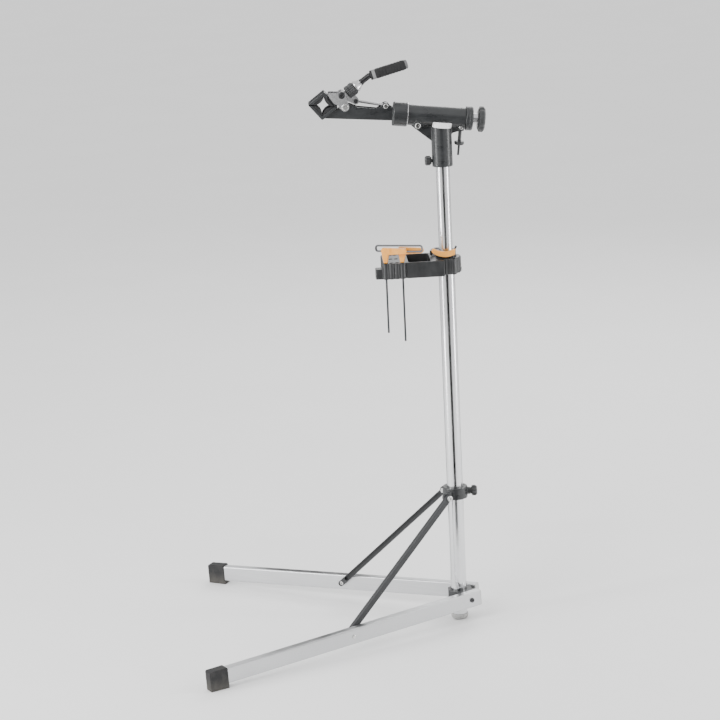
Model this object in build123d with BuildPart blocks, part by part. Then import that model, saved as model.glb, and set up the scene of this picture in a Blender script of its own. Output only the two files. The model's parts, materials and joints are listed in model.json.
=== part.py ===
"""Folding two-leg bicycle repair stand with a rotating quick-grip clamp, a telescoping upright and a tool tray.

Millimetres, +Z up. The origin is the middle of the upright's foot, on the floor. The clamp arm and the legs
reach towards -X. "Near" parts lie on the -Y side and "far" parts on the +Y side, and they mirror each other.
"""

import os
from math import asin, cos, radians, sin

from build123d import *

os.makedirs("parts", exist_ok=True)

# ---------------------------------------------------------------- driving dimensions
RUN = 0.05  # radial clearance of a running fit
SKIM = 0.4  # gap between faces that pass each other

LOWER_R = 19.05
LOWER_WALL = 1.6
LOWER_BASE = 6.0
LOWER_TOP = 896.0
FOOT_R = 20.8
FOOT_TALL = 14.0
PLUG_TALL = 16.0  # the foot cap's plug inside the tube
UPPER_R = 15.9
UPPER_WALL = 1.5
UPPER_BASE = 340.0
UPPER_TOP = 1186.0

SPREAD = 28.5  # half of the angle between the legs, seen from above
LEG_LENGTH = 720.0  # from the pivot to the tip
LEG_TAIL = 25.0  # from the pivot back to the end behind it
LEG_TALL = 38.0
LEG_THICK = 20.0
LEG_WALL = 1.5
LEG_ACROSS = 41.0  # from the upright's axis to the leg's middle plane
LEG_PIVOT_BEHIND = 3.9
LEG_PIVOT_Z = 58.0
LEG_TIP_Z = 26.6
LEG_BOLT_R = 4.0

STRUT_ON_LEG = 337.0  # from the leg's pivot to the strut's pivot
STRUT_IN = 20.0  # distances of the strut's two faces from the upright's axis
STRUT_OUT = 30.0
STRUT_WIDE = 14.0
STRUT_TOP_AHEAD = 36.0
STRUT_TOP_Z = 320.0
STRUT_BOLT_R = 4.0

COLLAR_R = 30.0
COLLAR_BORE = 22.0
COLLAR_Z = (310.0, 338.0)
LUG_FACES = (12.0, STRUT_IN - SKIM)

BRACKET_Z = (41.0, 76.0)
EAR_FACE = LEG_ACROSS - LEG_THICK / 2 - SKIM
SCREW_HEIGHTS = (BRACKET_Z[0] + 9.0, BRACKET_Z[1] - 9.0)
BRACKET_SCREW_R = 2.5

TRAY_Z = (868.0, 906.0)
TRAY_BOSS_R = 35.0
CLAMP_R = 23.5
CLAMP_Z = (880.0, 922.0)
SOCKET_PITCH = 13.0
SOCKET_ROWS = (-44.0, 0.0, 44.0)
SOCKET_FIRST = -145.5
SOCKET_R = 4.6

HEAD_Z = 1238.0
HEAD_TILT = 6.8  # the head's axis climbs towards the clamp
HOUSING_R = 24.5
HOUSING = (-58.0, 77.0)
SHAFT_R = 15.0
NECK_R = 24.0  # the vertical socket under the housing
NECK_BASE = 1122.0
HEAD_KNOB_Z = 1136.0
HEAD_KNOB_FACE = 25.5
SPREADER_KNOB_Z = 324.0
SPREADER_KNOB_FACE = 37.5
KNOB_SHANK_R = 4.0
TIP_GAP = 0.2  # between a clamping screw's tip and the tube it presses on

CLAMP_RISE = 9.5  # the jaws' middle and the arm stand this far above the head's axis
JAW = 276.0  # the middle of the jaws, ahead of the upright's axis
JAW_CORNER = 34.0  # from the jaws' middle to the outer corners of their diamond
JAW_MOUTH = 25.0  # to the inner corners
JAW_DEEP = 23.0
JAW_SPLIT = 1.0  # from the jaws' middle to each jaw's end faces
PIVOT_A = (225.0, 0.0)  # jaw pivot on the arm
PIVOT_B = (131.0, 8.5)  # toggle link's pivot on the arm
PIVOT_C = (235.0, 27.0)  # handle's pivot on the jaw
PIVOT_D = (201.0, 15.0)  # toggle link's pivot on the handle
ARM_HALF = 14.0
CHANNEL_HALF = 10.5
PLATE_FACES = (ARM_HALF + SKIM, ARM_HALF + SKIM + 3.0)
STEM_START = (222.0, 30.0)
STEM_END = (174.5, 74.0)
GRIP_END = (86.5, 108.5)
BARREL_LENGTH = 24.0
BARREL_R = 14.9
NECK_ROD_R = 6.8
GRIP_CORE_R = 6.0
GRIP_START = 3.4  # along the grip's axis, from the bend
CAP_LONG = 6.4

# ---------------------------------------------------------------- frames of reference
ALONG = Vector(-cos(radians(SPREAD)), sin(radians(SPREAD)), 0)  # the far leg's heading
ACROSS = Vector(sin(radians(SPREAD)), cos(radians(SPREAD)), 0)  # outwards from the far leg's side
TILT = radians(HEAD_TILT)
AHEAD = Vector(-cos(TILT), 0, sin(TILT))
ABOVE = Vector(sin(TILT), 0, cos(TILT))
SIDE = Plane(origin=(0, 0, HEAD_Z), x_dir=AHEAD, z_dir=(0, 1, 0))  # x ahead, y above the head's axis
CLAMP = Plane(origin=SIDE.from_local_coords((0, CLAMP_RISE, 0)), x_dir=AHEAD, z_dir=(0, 1, 0))
DROOP = asin((LEG_PIVOT_Z - LEG_TIP_Z) / LEG_LENGTH)


def spread_point(along, across, height):
    """A point given in the far leg's vertical plane."""
    return ALONG * along + ACROSS * across + Vector(0, 0, height)


def head_point(ahead, above, across=0.0):
    """A point given along, above and beside the head's axis."""
    return SIDE.from_local_coords((ahead, above, across))


def head_plane(ahead, above=0.0, across=0.0, normal=AHEAD):
    """A plane at a point of the head, facing along normal."""
    return Plane(origin=head_point(ahead, above, across), z_dir=normal)


def clamp_point(ahead, above, across=0.0):
    """The same, from the line through the jaws' middle."""
    return CLAMP.from_local_coords((ahead, above, across))


def clamp_plane(ahead, above, across, normal):
    """A plane at such a point, facing along normal."""
    return Plane(origin=clamp_point(ahead, above, across), z_dir=normal)


LEG = Plane(
    origin=spread_point(-LEG_PIVOT_BEHIND, LEG_ACROSS, LEG_PIVOT_Z),
    x_dir=ALONG * cos(DROOP) - Vector(0, 0, sin(DROOP)),
    z_dir=ACROSS,
)
LEG_STRUT_PIN = LEG.from_local_coords((STRUT_ON_LEG, 0, 0))
STRUT_TOP_PIN = spread_point(STRUT_TOP_AHEAD, STRUT_IN, STRUT_TOP_Z)
STRUT_FOOT_PIN = LEG_STRUT_PIN - ACROSS * (LEG_ACROSS - STRUT_IN)
STRUT_LINE = STRUT_FOOT_PIN - STRUT_TOP_PIN
STRUT_LENGTH = STRUT_LINE.length
STRUT = Plane(origin=STRUT_TOP_PIN, x_dir=STRUT_LINE, z_dir=ACROSS)


def save(piece, name):
    """Labels a finished piece and writes it."""
    piece.part.label = name
    export_step(piece.part, f"parts/{name}.step")


def tube(plane, radius, wall, length):
    """A round tube standing on a plane."""
    with BuildSketch(plane) as ring:
        Circle(radius)
        Circle(radius - wall, mode=Mode.SUBTRACT)
    extrude(ring.sketch, amount=length)


def rod(plane, radius, length, mode=Mode.ADD):
    """A round rod standing on a plane."""
    with BuildSketch(plane) as disc:
        Circle(radius)
    extrude(disc.sketch, amount=length, mode=mode)


def turned(plane, points, crown):
    """A turned body on a plane's normal: its outline, as radius and height, ends in an arc to the crown."""
    section = Plane(origin=plane.origin, x_dir=plane.x_dir, z_dir=plane.x_dir.cross(plane.z_dir))
    with BuildSketch(section) as half:
        with BuildLine():
            Polyline(*points)
            bulge = (points[-1][0] * 0.35 + crown[0] * 0.65 + (points[-1][0] - crown[0]) * 0.35,
                     points[-1][1] * 0.35 + crown[1] * 0.65)
            ThreePointArc(points[-1], bulge, crown)
            Polyline(crown, (0, crown[1]), points[0])
        make_face()
    revolve(half.sketch, axis=Axis(plane.origin, plane.z_dir))


def bolt(plane, shank_r, shank, head_r, head, hexagon=0.0):
    """A bolt whose shank stands on a plane, with a domed head at its far end, and a hexagon socket if asked."""
    outline = ((0, 0), (shank_r, 0), (shank_r, shank), (head_r, shank), (head_r, shank + head * 0.55))
    turned(plane, outline, (head_r * 0.7, shank + head))
    if hexagon:
        with BuildSketch(plane.offset(shank + head)) as key:
            RegularPolygon(radius=hexagon, side_count=6)
        extrude(key.sketch, amount=-head * 0.6, mode=Mode.SUBTRACT)


def nut(plane, bore_r, across_corners, thick):
    """A hexagon nut standing on a plane."""
    with BuildSketch(plane) as hexagon:
        RegularPolygon(radius=across_corners, side_count=6)
        Circle(bore_r, mode=Mode.SUBTRACT)
    extrude(hexagon.sketch, amount=thick)


def save_pair(far, name):
    """Writes a far piece and its mirror image on the near side."""
    save(far, f"{name}_far")
    with BuildPart() as near:
        mirror(far.part, about=Plane.XZ)
    save(near, f"{name}_near")


# ---------------------------------------------------------------- upright
with BuildPart() as lower_tube:
    tube(Plane.XY.offset(LOWER_BASE), LOWER_R, LOWER_WALL, LOWER_TOP - LOWER_BASE)
save(lower_tube, "lower_tube")

with BuildPart() as foot_cap:
    rod(Plane.XY, FOOT_R, FOOT_TALL)
    fillet(edges().filter_by(GeomType.CIRCLE).sort_by(Axis.Z)[0], 5.0)
    rod(Plane.XY.offset(LOWER_BASE), LOWER_R, FOOT_TALL, mode=Mode.SUBTRACT)
    rod(Plane.XY.offset(LOWER_BASE), LOWER_R - LOWER_WALL, PLUG_TALL)
save(foot_cap, "foot_cap")

ear_back = spread_point(-20.0, EAR_FACE, 0)
ear_front = spread_point(14.0, EAR_FACE, 0)
with BuildPart() as base_bracket:
    with BuildSketch(Plane.XY.offset(BRACKET_Z[0])):
        with BuildLine():
            Polyline(
                (ear_back.X, -ear_back.Y),
                (ear_back.X, ear_back.Y),
                (ear_front.X, ear_front.Y),
                (-12.0, 24.0),
                (-26.0, 12.0),
                (-26.0, -12.0),
                (-12.0, -24.0),
                (ear_front.X, -ear_front.Y),
                close=True,
            )
        make_face()
        fillet(vertices(), 2.5)
    extrude(amount=BRACKET_Z[1] - BRACKET_Z[0])
    chamfer(faces().sort_by(Axis.Z)[-1].edges(), 1.0)
    rod(Plane.XY, LOWER_R, 200.0, mode=Mode.SUBTRACT)
    pivot_plane = Plane(origin=spread_point(-LEG_PIVOT_BEHIND, STRUT_IN, LEG_PIVOT_Z), z_dir=ACROSS)
    near_pivot_plane = Plane(
        origin=(pivot_plane.origin.X, -pivot_plane.origin.Y, LEG_PIVOT_Z), z_dir=(ACROSS.X, -ACROSS.Y, 0)
    )
    rod(pivot_plane, LEG_BOLT_R, 40.0, mode=Mode.SUBTRACT)
    rod(near_pivot_plane, LEG_BOLT_R, 40.0, mode=Mode.SUBTRACT)
    for height in SCREW_HEIGHTS:
        rod(Plane(origin=(10.0, 0, height), z_dir=(1, 0, 0)), BRACKET_SCREW_R, 40.0, mode=Mode.SUBTRACT)
save(base_bracket, "base_bracket")

with BuildPart() as bracket_screws:
    for height in SCREW_HEIGHTS:
        start = Plane(origin=(LOWER_R, 0, height), z_dir=(1, 0, 0))
        bolt(start, BRACKET_SCREW_R, ear_back.X - LOWER_R, 5.5, 4.0, 2.8)
save(bracket_screws, "bracket_screws")

with BuildPart() as leg_pivot_bolts:
    bolt(pivot_plane, LEG_BOLT_R, LEG_ACROSS + LEG_THICK / 2 + SKIM - STRUT_IN, 5.8, 3.0, 2.4)
    mirror(about=Plane.XZ)
save(leg_pivot_bolts, "leg_pivot_bolts")

with BuildPart() as guide_sleeve:
    tube(Plane.XY.offset(LOWER_TOP - 46.0), LOWER_R - LOWER_WALL, LOWER_R - LOWER_WALL - UPPER_R - RUN, 46.0)
save(guide_sleeve, "guide_sleeve")

# ---------------------------------------------------------------- height clamp and its cam lever
LEVER_Z = (909.4, 921.0)
LEVER_PIVOT = (-19.0, 31.0)
with BuildPart() as height_clamp:
    rod(Plane.XY.offset(CLAMP_Z[0]), CLAMP_R, CLAMP_Z[1] - CLAMP_Z[0])
    fillet(edges().filter_by(GeomType.CIRCLE).sort_by(Axis.Z)[-1], 2.0)
    with BuildSketch(Plane.XY.offset(LEVER_Z[0])):
        with Locations((0, 30.0)):
            RectangleRounded(24.0, 18.0, 2.0)
    extrude(amount=LEVER_Z[1] - LEVER_Z[0])
    rod(Plane.XY.offset(CLAMP_Z[0]), LOWER_R, LOWER_TOP - CLAMP_Z[0], mode=Mode.SUBTRACT)
    rod(Plane.XY.offset(LOWER_TOP), UPPER_R + RUN, 60.0, mode=Mode.SUBTRACT)
    with BuildSketch(Plane.XY.offset(CLAMP_Z[0])):
        with Locations((0, 30.0)):
            Rectangle(2.4, 40.0)
    extrude(amount=60.0, mode=Mode.SUBTRACT)
    bolt_middle = (LEVER_Z[0] + LEVER_Z[1]) / 2
    rod(Plane(origin=(-30.0, LEVER_PIVOT[1], bolt_middle), z_dir=(1, 0, 0)), 3.0, 60.0, mode=Mode.SUBTRACT)
save(height_clamp, "height_clamp")

with BuildPart() as height_bolt:
    shank = Plane(origin=(LEVER_PIVOT[0] - 3.0, LEVER_PIVOT[1], bolt_middle), z_dir=(1, 0, 0))
    bolt(shank, 3.0, 12.0 - LEVER_PIVOT[0] + 3.0, 5.5, 4.0, 2.6)
    rod(Plane(origin=(*LEVER_PIVOT, LEVER_Z[0] + 0.6)), 3.0, 10.4)
save(height_bolt, "height_bolt")

with BuildPart() as height_lever:
    with BuildSketch(Plane.XY.offset(LEVER_Z[0])):
        with Locations(LEVER_PIVOT):
            Circle(6.5)
        with BuildLine():
            Polyline((-25.0, 33.0), (-33.0, 24.0), (-38.5, 2.0), (-36.5, -2.0), (-33.0, -1.0), (-28.0, 20.0),
                     (-19.0, 25.0), (-19.0, 33.0), close=True)
        make_face()
    extrude(amount=LEVER_Z[1] - LEVER_Z[0])
    fillet(edges().filter_by(Axis.Z).group_by(Axis.Y)[0], 1.2)
    rod(Plane(origin=(*LEVER_PIVOT, 0)), 3.0 + RUN, 1000.0, mode=Mode.SUBTRACT)
    with BuildSketch(Plane.XY.offset(bolt_middle - 3.5)):
        with Locations((-18.0, 35.4)):
            Rectangle(18.0, 18.0)
    extrude(amount=7.0, mode=Mode.SUBTRACT)
save(height_lever, "height_lever")

# ---------------------------------------------------------------- legs
with BuildPart() as leg_far:
    middle = (LEG_LENGTH - LEG_TAIL) / 2
    with BuildSketch(LEG.offset(-LEG_THICK / 2)):
        with Locations((middle, 0)):
            Rectangle(LEG_LENGTH + LEG_TAIL, LEG_TALL)
    extrude(amount=LEG_THICK)
    fillet(edges().filter_by(Axis(LEG.origin, LEG.x_dir)), 3.0)
    with BuildSketch(LEG.offset(LEG_WALL - LEG_THICK / 2)):
        with Locations((middle, 0)):
            Rectangle(LEG_LENGTH + LEG_TAIL, LEG_TALL - 2 * LEG_WALL)
    extrude(amount=LEG_THICK - 2 * LEG_WALL, mode=Mode.SUBTRACT)
    with BuildSketch(LEG.offset(-LEG_THICK)):
        Circle(LEG_BOLT_R + RUN)
        with Locations((STRUT_ON_LEG, 0)):
            Circle(STRUT_BOLT_R)
    extrude(amount=2 * LEG_THICK, mode=Mode.SUBTRACT)
save_pair(leg_far, "leg")

with BuildPart() as leg_plug_far:
    with BuildSketch(LEG.offset(-LEG_THICK / 2)):
        with Locations((-LEG_TAIL - 1.5, 0)):
            Rectangle(3.0, LEG_TALL)
    extrude(amount=LEG_THICK)
    fillet(edges().filter_by(Axis(LEG.origin, LEG.x_dir)), 3.0)
    fillet(faces().sort_by(Axis(LEG.origin, LEG.x_dir))[0].edges(), 1.0)
    with BuildSketch(LEG.offset(LEG_WALL - LEG_THICK / 2)):
        with Locations((6.0 - LEG_TAIL, 0)):
            Rectangle(12.0, LEG_TALL - 2 * LEG_WALL)
    extrude(amount=LEG_THICK - 2 * LEG_WALL)
save_pair(leg_plug_far, "leg_plug")


def floor_below(along_leg):
    """Height of the floor in the leg's plane at a distance along the leg."""
    return (along_leg * sin(DROOP) - LEG_PIVOT_Z) / cos(DROOP)


BOOT = (LEG_LENGTH - 42.0, LEG_LENGTH + 5.0)
BOOT_WALLS = (0.6, 3.0)  # on the leg's inner side, where the folded strut passes, and on its outer side
with BuildPart() as leg_foot_far:
    with BuildSketch(LEG.offset(-LEG_THICK / 2 - BOOT_WALLS[0])):
        with BuildLine():
            Polyline(
                (BOOT[0], LEG_TALL / 2 + 3.0),
                (BOOT[1], LEG_TALL / 2 + 3.0),
                (BOOT[1], floor_below(BOOT[1])),
                (BOOT[0], floor_below(BOOT[0])),
                close=True,
            )
        make_face()
    extrude(amount=LEG_THICK + sum(BOOT_WALLS))
    fillet(edges().filter_by(Axis(LEG.origin, ACROSS)).sort_by(Axis.Z)[-2:], 4.0)
    with BuildSketch(LEG.offset(-LEG_THICK / 2)):
        with Locations((BOOT[0], 0)):
            Rectangle(2 * (LEG_LENGTH - BOOT[0]), LEG_TALL)
    extrude(amount=LEG_THICK, mode=Mode.SUBTRACT)
save_pair(leg_foot_far, "leg_foot")

with BuildPart() as leg_bolt_far:
    inner_end = Plane(origin=LEG_STRUT_PIN - ACROSS * (LEG_THICK / 2), z_dir=ACROSS)
    bolt(inner_end, STRUT_BOLT_R, LEG_THICK, 4.9, 1.8)
save_pair(leg_bolt_far, "leg_bolt")

# ---------------------------------------------------------------- struts, U-channels that open inwards
with BuildPart() as strut_far:
    with BuildSketch(STRUT):
        with Locations((STRUT_LENGTH / 2, 0)):
            SlotCenterToCenter(STRUT_LENGTH, STRUT_WIDE)
    extrude(amount=STRUT_OUT - STRUT_IN)
    with BuildSketch(STRUT):
        with Locations((STRUT_LENGTH / 2, 0)):
            SlotCenterToCenter(STRUT_LENGTH - 44.0, STRUT_WIDE - 4.0)
        with Locations((STRUT_LENGTH, 0)):
            Circle(STRUT_BOLT_R + 2.2)
    extrude(amount=STRUT_OUT - STRUT_IN - 3.0, mode=Mode.SUBTRACT)
    with BuildSketch(STRUT):
        Circle(STRUT_BOLT_R + RUN)
        with Locations((STRUT_LENGTH, 0)):
            Circle(STRUT_BOLT_R)
    extrude(amount=20.0, mode=Mode.SUBTRACT)
save_pair(strut_far, "strut")

with BuildPart() as strut_bolt_far:
    outer_end = Plane(origin=STRUT_FOOT_PIN + ACROSS * (STRUT_OUT - STRUT_IN + 0.3), z_dir=-ACROSS)
    bolt(outer_end, STRUT_BOLT_R, 3.3, 6.2, 4.0, 2.8)
save_pair(strut_bolt_far, "strut_bolt")

# ---------------------------------------------------------------- spreader collar
KNOB_LINE = Plane(origin=(0, 0, SPREADER_KNOB_Z), z_dir=(1, 0, 0))
with BuildPart() as spreader_collar:
    rod(Plane.XY.offset(COLLAR_Z[0]), COLLAR_R, COLLAR_Z[1] - COLLAR_Z[0])
    lug = Plane(origin=spread_point(0, LUG_FACES[0], 0), x_dir=ALONG, z_dir=ACROSS)
    with BuildSketch(lug):
        with Locations(((STRUT_TOP_AHEAD + 20.0) / 2, STRUT_TOP_Z)):
            Rectangle(STRUT_TOP_AHEAD - 20.0, 20.0)
        with Locations((STRUT_TOP_AHEAD, STRUT_TOP_Z)):
            Circle(10.0)
    extrude(amount=LUG_FACES[1] - LUG_FACES[0])
    rod(Plane(origin=spread_point(STRUT_TOP_AHEAD, 0, STRUT_TOP_Z), z_dir=ACROSS), STRUT_BOLT_R, 40.0,
        mode=Mode.SUBTRACT)
    mirror(about=Plane.XZ)
    rod(KNOB_LINE.offset(20.0), 9.0, SPREADER_KNOB_FACE - 0.5 - 20.0)
    fillet(edges().filter_by(GeomType.CIRCLE).sort_by(Axis.Z)[-1], 2.0)
    rod(Plane.XY.offset(COLLAR_Z[0]), COLLAR_BORE, 60.0, mode=Mode.SUBTRACT)
    rod(KNOB_LINE.offset(10.0), KNOB_SHANK_R + RUN, 40.0, mode=Mode.SUBTRACT)
save(spreader_collar, "spreader_collar")

with BuildPart() as spreader_bush:
    tube(Plane.XY.offset(COLLAR_Z[0]), COLLAR_BORE, COLLAR_BORE - LOWER_R - RUN, COLLAR_Z[1] - COLLAR_Z[0])
    rod(KNOB_LINE.offset(10.0), KNOB_SHANK_R + RUN, 40.0, mode=Mode.SUBTRACT)
save(spreader_bush, "spreader_bush")

with BuildPart() as strut_top_bolts:
    bolt(Plane(origin=spread_point(STRUT_TOP_AHEAD, 6.0, STRUT_TOP_Z), z_dir=ACROSS), STRUT_BOLT_R,
         STRUT_OUT + SKIM - 6.0, 7.0, 4.0, 2.8)
    nut(Plane(origin=spread_point(STRUT_TOP_AHEAD, 7.0, STRUT_TOP_Z), z_dir=ACROSS), STRUT_BOLT_R, 6.6, 5.0)
    mirror(about=Plane.XZ)
save(strut_top_bolts, "strut_top_bolts")


def lobed_knob(plane, outer_r, length, shank, lobes):
    """A hand knob with finger grooves, and a screw shank that reaches back from the plane it stands on."""
    turned(plane, ((0, 0), (outer_r, 0), (outer_r, length * 0.7)), (outer_r * 0.72, length))
    with BuildSketch(plane) as grooves:
        with PolarLocations(outer_r * 1.16, lobes):
            Circle(outer_r * 0.28)
    extrude(grooves.sketch, amount=length, mode=Mode.SUBTRACT)
    rod(plane, KNOB_SHANK_R, -shank)


with BuildPart() as spreader_knob:
    lobed_knob(KNOB_LINE.offset(SPREADER_KNOB_FACE), 14.0, 16.0, SPREADER_KNOB_FACE - LOWER_R - TIP_GAP, 6)
save(spreader_knob, "spreader_knob")

# ---------------------------------------------------------------- tray
TRAY_TALL = TRAY_Z[1] - TRAY_Z[0]
TRAY_SCREW_Z = TRAY_Z[0] + 6.0
TRAY_FRONT = 50.0
TRAY_SPLIT = -96.0
sockets = [SOCKET_FIRST + SOCKET_PITCH * column for column in range(4)]
block_middle = (sockets[0] + sockets[-1]) / 2
WRENCH_SPOTS = ((sockets[0], SOCKET_ROWS[0]), (sockets[3], SOCKET_ROWS[0]), (14.0, -30.0))
WRENCH_TURNS = (-16.0, -16.0, 180.0)
WRENCH_DROPS = (130.0, 152.0, -6.0)  # how far the blades reach below the tray
FLUTES = (-88.0, -40.0, -20.0, 0.0, 20.0, 40.0, 60.0, 80.0)
with BuildPart() as tray:
    with BuildSketch(Plane.XY.offset(TRAY_Z[0])):
        Circle(TRAY_BOSS_R)
        with Locations(WRENCH_SPOTS[2]):
            Circle(SOCKET_R + 3.0)
        with Locations((TRAY_SPLIT / 2 - 4.0, 0)):
            Rectangle(-TRAY_SPLIT - 8.0, 2 * TRAY_FRONT)
        with Locations((block_middle + 4.0, 0)):
            Rectangle(4 * SOCKET_PITCH + 10.0, 2 * TRAY_FRONT - 6.0)
        for column in sockets:
            with Locations((column, -TRAY_FRONT + 3.0), (column, TRAY_FRONT - 3.0)):
                Circle(SOCKET_PITCH / 2 + 0.6)
    extrude(amount=TRAY_TALL)
    with BuildSketch(Plane.XY.offset(TRAY_Z[0])):
        with Locations((sockets[0] - SOCKET_PITCH / 2 - 8.0, -33.0)):
            RectangleRounded(20.0, 26.0, 3.0)
    extrude(amount=24.0)
    with BuildSketch(Plane.XY.offset(TRAY_Z[0])):
        for turn in FLUTES:
            with Locations((41.0 * cos(radians(turn)), 41.0 * sin(radians(turn)))):
                Circle(8.0)
    extrude(amount=TRAY_TALL, mode=Mode.SUBTRACT)
    with BuildSketch(Plane.XY.offset(TRAY_Z[0] + 4.0)):
        with Locations((-66.0, 0)):
            RectangleRounded(52.0, 2 * TRAY_FRONT - 8.0, 4.0)
    extrude(amount=TRAY_TALL, mode=Mode.SUBTRACT)
    with BuildSketch(Plane.XY.offset(TRAY_Z[0])):
        for row in SOCKET_ROWS:
            with Locations(*[(column, row) for column in sockets]):
                Circle(SOCKET_R)
        with Locations(WRENCH_SPOTS[2]):
            Circle(SOCKET_R)
    extrude(amount=TRAY_TALL, mode=Mode.SUBTRACT)
    rod(Plane(origin=(0, 0, TRAY_SCREW_Z), z_dir=(1, 0, 0)), 2.5, 40.0, mode=Mode.SUBTRACT)
    rod(Plane(origin=(33.2, 0, TRAY_SCREW_Z), z_dir=(1, 0, 0)), 5.4, 10.0, mode=Mode.SUBTRACT)
    rod(Plane.XY.offset(TRAY_Z[0]), LOWER_R + RUN, 80.0, mode=Mode.SUBTRACT)
    rod(Plane.XY.offset(CLAMP_Z[0] - SKIM), CLAMP_R + SKIM, 80.0, mode=Mode.SUBTRACT)
save(tray, "tray")

with BuildPart() as tray_screw:
    bolt(Plane(origin=(LOWER_R + 0.2, 0, TRAY_SCREW_Z), z_dir=(1, 0, 0)), 2.5, 14.0, 5.0, 4.0, 2.6)
save(tray_screw, "tray_screw")

# ---------------------------------------------------------------- hand tools that stand in the tray's sockets
BLADE_R = 2.4
GRIP_REACH = 52.0
SHOULDER = TRAY_Z[1] + 0.3  # the handle's shoulder stands just over the socket's rim


def straight_grip():
    """Outline of a grip: a bar over a tapered leg, as reach from the blade and height over the socket."""
    Polyline((-9.5, 29.0), (-4.2, 0.0), (4.2, 0.0), (8.5, 20.0), (GRIP_REACH - 6.0, 22.5))
    ThreePointArc((GRIP_REACH - 6.0, 22.5), (GRIP_REACH, 28.8), (GRIP_REACH - 6.0, 35.0))
    Line((GRIP_REACH - 6.0, 35.0), (-4.5, 37.0))
    ThreePointArc((-4.5, 37.0), (-8.4, 34.6), (-9.5, 29.0))


def curved_grip():
    """Outline of the curved grip, whose ends stand higher than its middle."""
    ThreePointArc((-6.5, 24.0), (20.0, 17.5), (45.0, 26.0))
    ThreePointArc((45.0, 26.0), (49.5, 22.0), (47.5, 15.0))
    ThreePointArc((47.5, 15.0), (22.0, 4.5), (-5.0, 9.5))
    Line((-5.0, 9.5), (-6.5, 24.0))


TOOL_GRIPS = (straight_grip, straight_grip, curved_grip)
LOOP = (-22.0, 88.0)  # the first tool's blade runs back over both grips, from end to end
TOOL_BENDS = (
    ((0.0, 29.0), (LOOP[0], 29.0), (LOOP[0], 42.0), (LOOP[1], 42.0), (LOOP[1], 28.0), (42.0, 28.0)),
    ((0.0, 29.0), (30.0, 29.0)),
    ((0.0, 12.0), (-8.5, 29.0)),
)
for number in (1, 2, 3):
    spot = WRENCH_SPOTS[number - 1]
    turn = radians(WRENCH_TURNS[number - 1])
    heading = Vector(cos(turn), sin(turn), 0)
    upright = Plane(origin=(*spot, SHOULDER), x_dir=heading, z_dir=heading.cross(Vector(0, 0, 1)))
    with BuildPart() as blade:
        with BuildLine(upright) as bent:
            FilletPolyline((0.0, -TRAY_TALL - WRENCH_DROPS[number - 1]), *TOOL_BENDS[number - 1], radius=5.0)
        with BuildSketch(Plane(origin=bent.line @ 0, z_dir=bent.line % 0)):
            RegularPolygon(radius=BLADE_R, side_count=6)
        sweep()
    save(blade, f"wrench_blade_{number}")
    with BuildPart() as handle:
        with BuildSketch(upright):
            with BuildLine():
                TOOL_GRIPS[number - 1]()
            make_face()
        extrude(amount=5.0, both=True)
        fillet(faces().filter_by(Axis(upright.origin, upright.z_dir)).edges(), 1.6)
        add(blade.part, mode=Mode.SUBTRACT)
    save(handle, f"wrench_handle_{number}")

# ---------------------------------------------------------------- upper tube
with BuildPart() as upper_tube:
    tube(Plane.XY.offset(UPPER_BASE), UPPER_R, UPPER_WALL, UPPER_TOP - UPPER_BASE)
save(upper_tube, "upper_tube")

with BuildPart() as upper_bush:
    tube(Plane.XY.offset(UPPER_BASE), LOWER_R - LOWER_WALL - RUN, LOWER_R - LOWER_WALL - RUN - UPPER_R, 30.0)
save(upper_bush, "upper_bush")

# ---------------------------------------------------------------- head housing
LOCK_SCREW_AT = -48.0
CROSS_BOLT = (54.0, -21.0)  # pinches the housing's two front lugs
CROSS_HALF = 24.0
SIDE_SCREW = (-48.0, -20.6)
SIDE_SCREW_FACE = 14.0
RING_BACK = -74.5
RING_R = 28.0
KNOB_FRONT = -86.5  # the end knob's front face
with BuildPart() as head_housing:
    rod(head_plane(HOUSING[0]), HOUSING_R, HOUSING[1] - HOUSING[0])
    rod(Plane.XY.offset(NECK_BASE), NECK_R, HEAD_Z - NECK_BASE)
    with BuildSketch(SIDE):
        with BuildLine():
            Polyline((68.0, 0.0), (68.0, -24.0), (62.0, -28.5), (23.0, -54.0), (8.0, -62.0), (-8.0, -62.0),
                     (-22.0, -52.0), (-30.0, -36.0), (-54.0, -27.0), (-54.0, 0.0), close=True)
        make_face()
    extrude(amount=6.0, both=True)
    for across in (-24.0, 14.0):
        with BuildSketch(SIDE.offset(across)):
            with Locations(CROSS_BOLT):
                Circle(9.5)
        extrude(amount=10.0)
    rod(head_plane(LOCK_SCREW_AT, -30.0, 0.0, ABOVE), 8.5, 20.0)
    socket_deep = UPPER_TOP + 0.5 - NECK_BASE
    rod(Plane.XY.offset(NECK_BASE), UPPER_R + RUN, socket_deep, mode=Mode.SUBTRACT)
    rod(head_plane(HOUSING[0] - 10.0), SHAFT_R + 2.0, HOUSING[1] - HOUSING[0] + 20.0, mode=Mode.SUBTRACT)
    rod(head_plane(*CROSS_BOLT, -60.0, Vector(0, 1, 0)), 3.4, 120.0, mode=Mode.SUBTRACT)
    rod(head_plane(*SIDE_SCREW, -SIDE_SCREW_FACE, Vector(0, 1, 0)), 2.4, 8.0, mode=Mode.SUBTRACT)
    rod(head_plane(*SIDE_SCREW, -SIDE_SCREW_FACE, Vector(0, -1, 0)), 5.2, 20.0, mode=Mode.SUBTRACT)
    rod(head_plane(LOCK_SCREW_AT, -40.0, 0.0, ABOVE), 4.0 + RUN, 30.0, mode=Mode.SUBTRACT)
    rod(Plane(origin=(0, 0, HEAD_KNOB_Z), z_dir=(-1, 0, 0)), KNOB_SHANK_R + RUN, 40.0, mode=Mode.SUBTRACT)
save(head_housing, "head_housing")

with BuildPart() as arm_bush:
    for start in (HOUSING[0], HOUSING[1] - 24.0):
        tube(head_plane(start), SHAFT_R + 2.0, 2.0 - RUN, 24.0)
save(arm_bush, "arm_bush")

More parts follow.
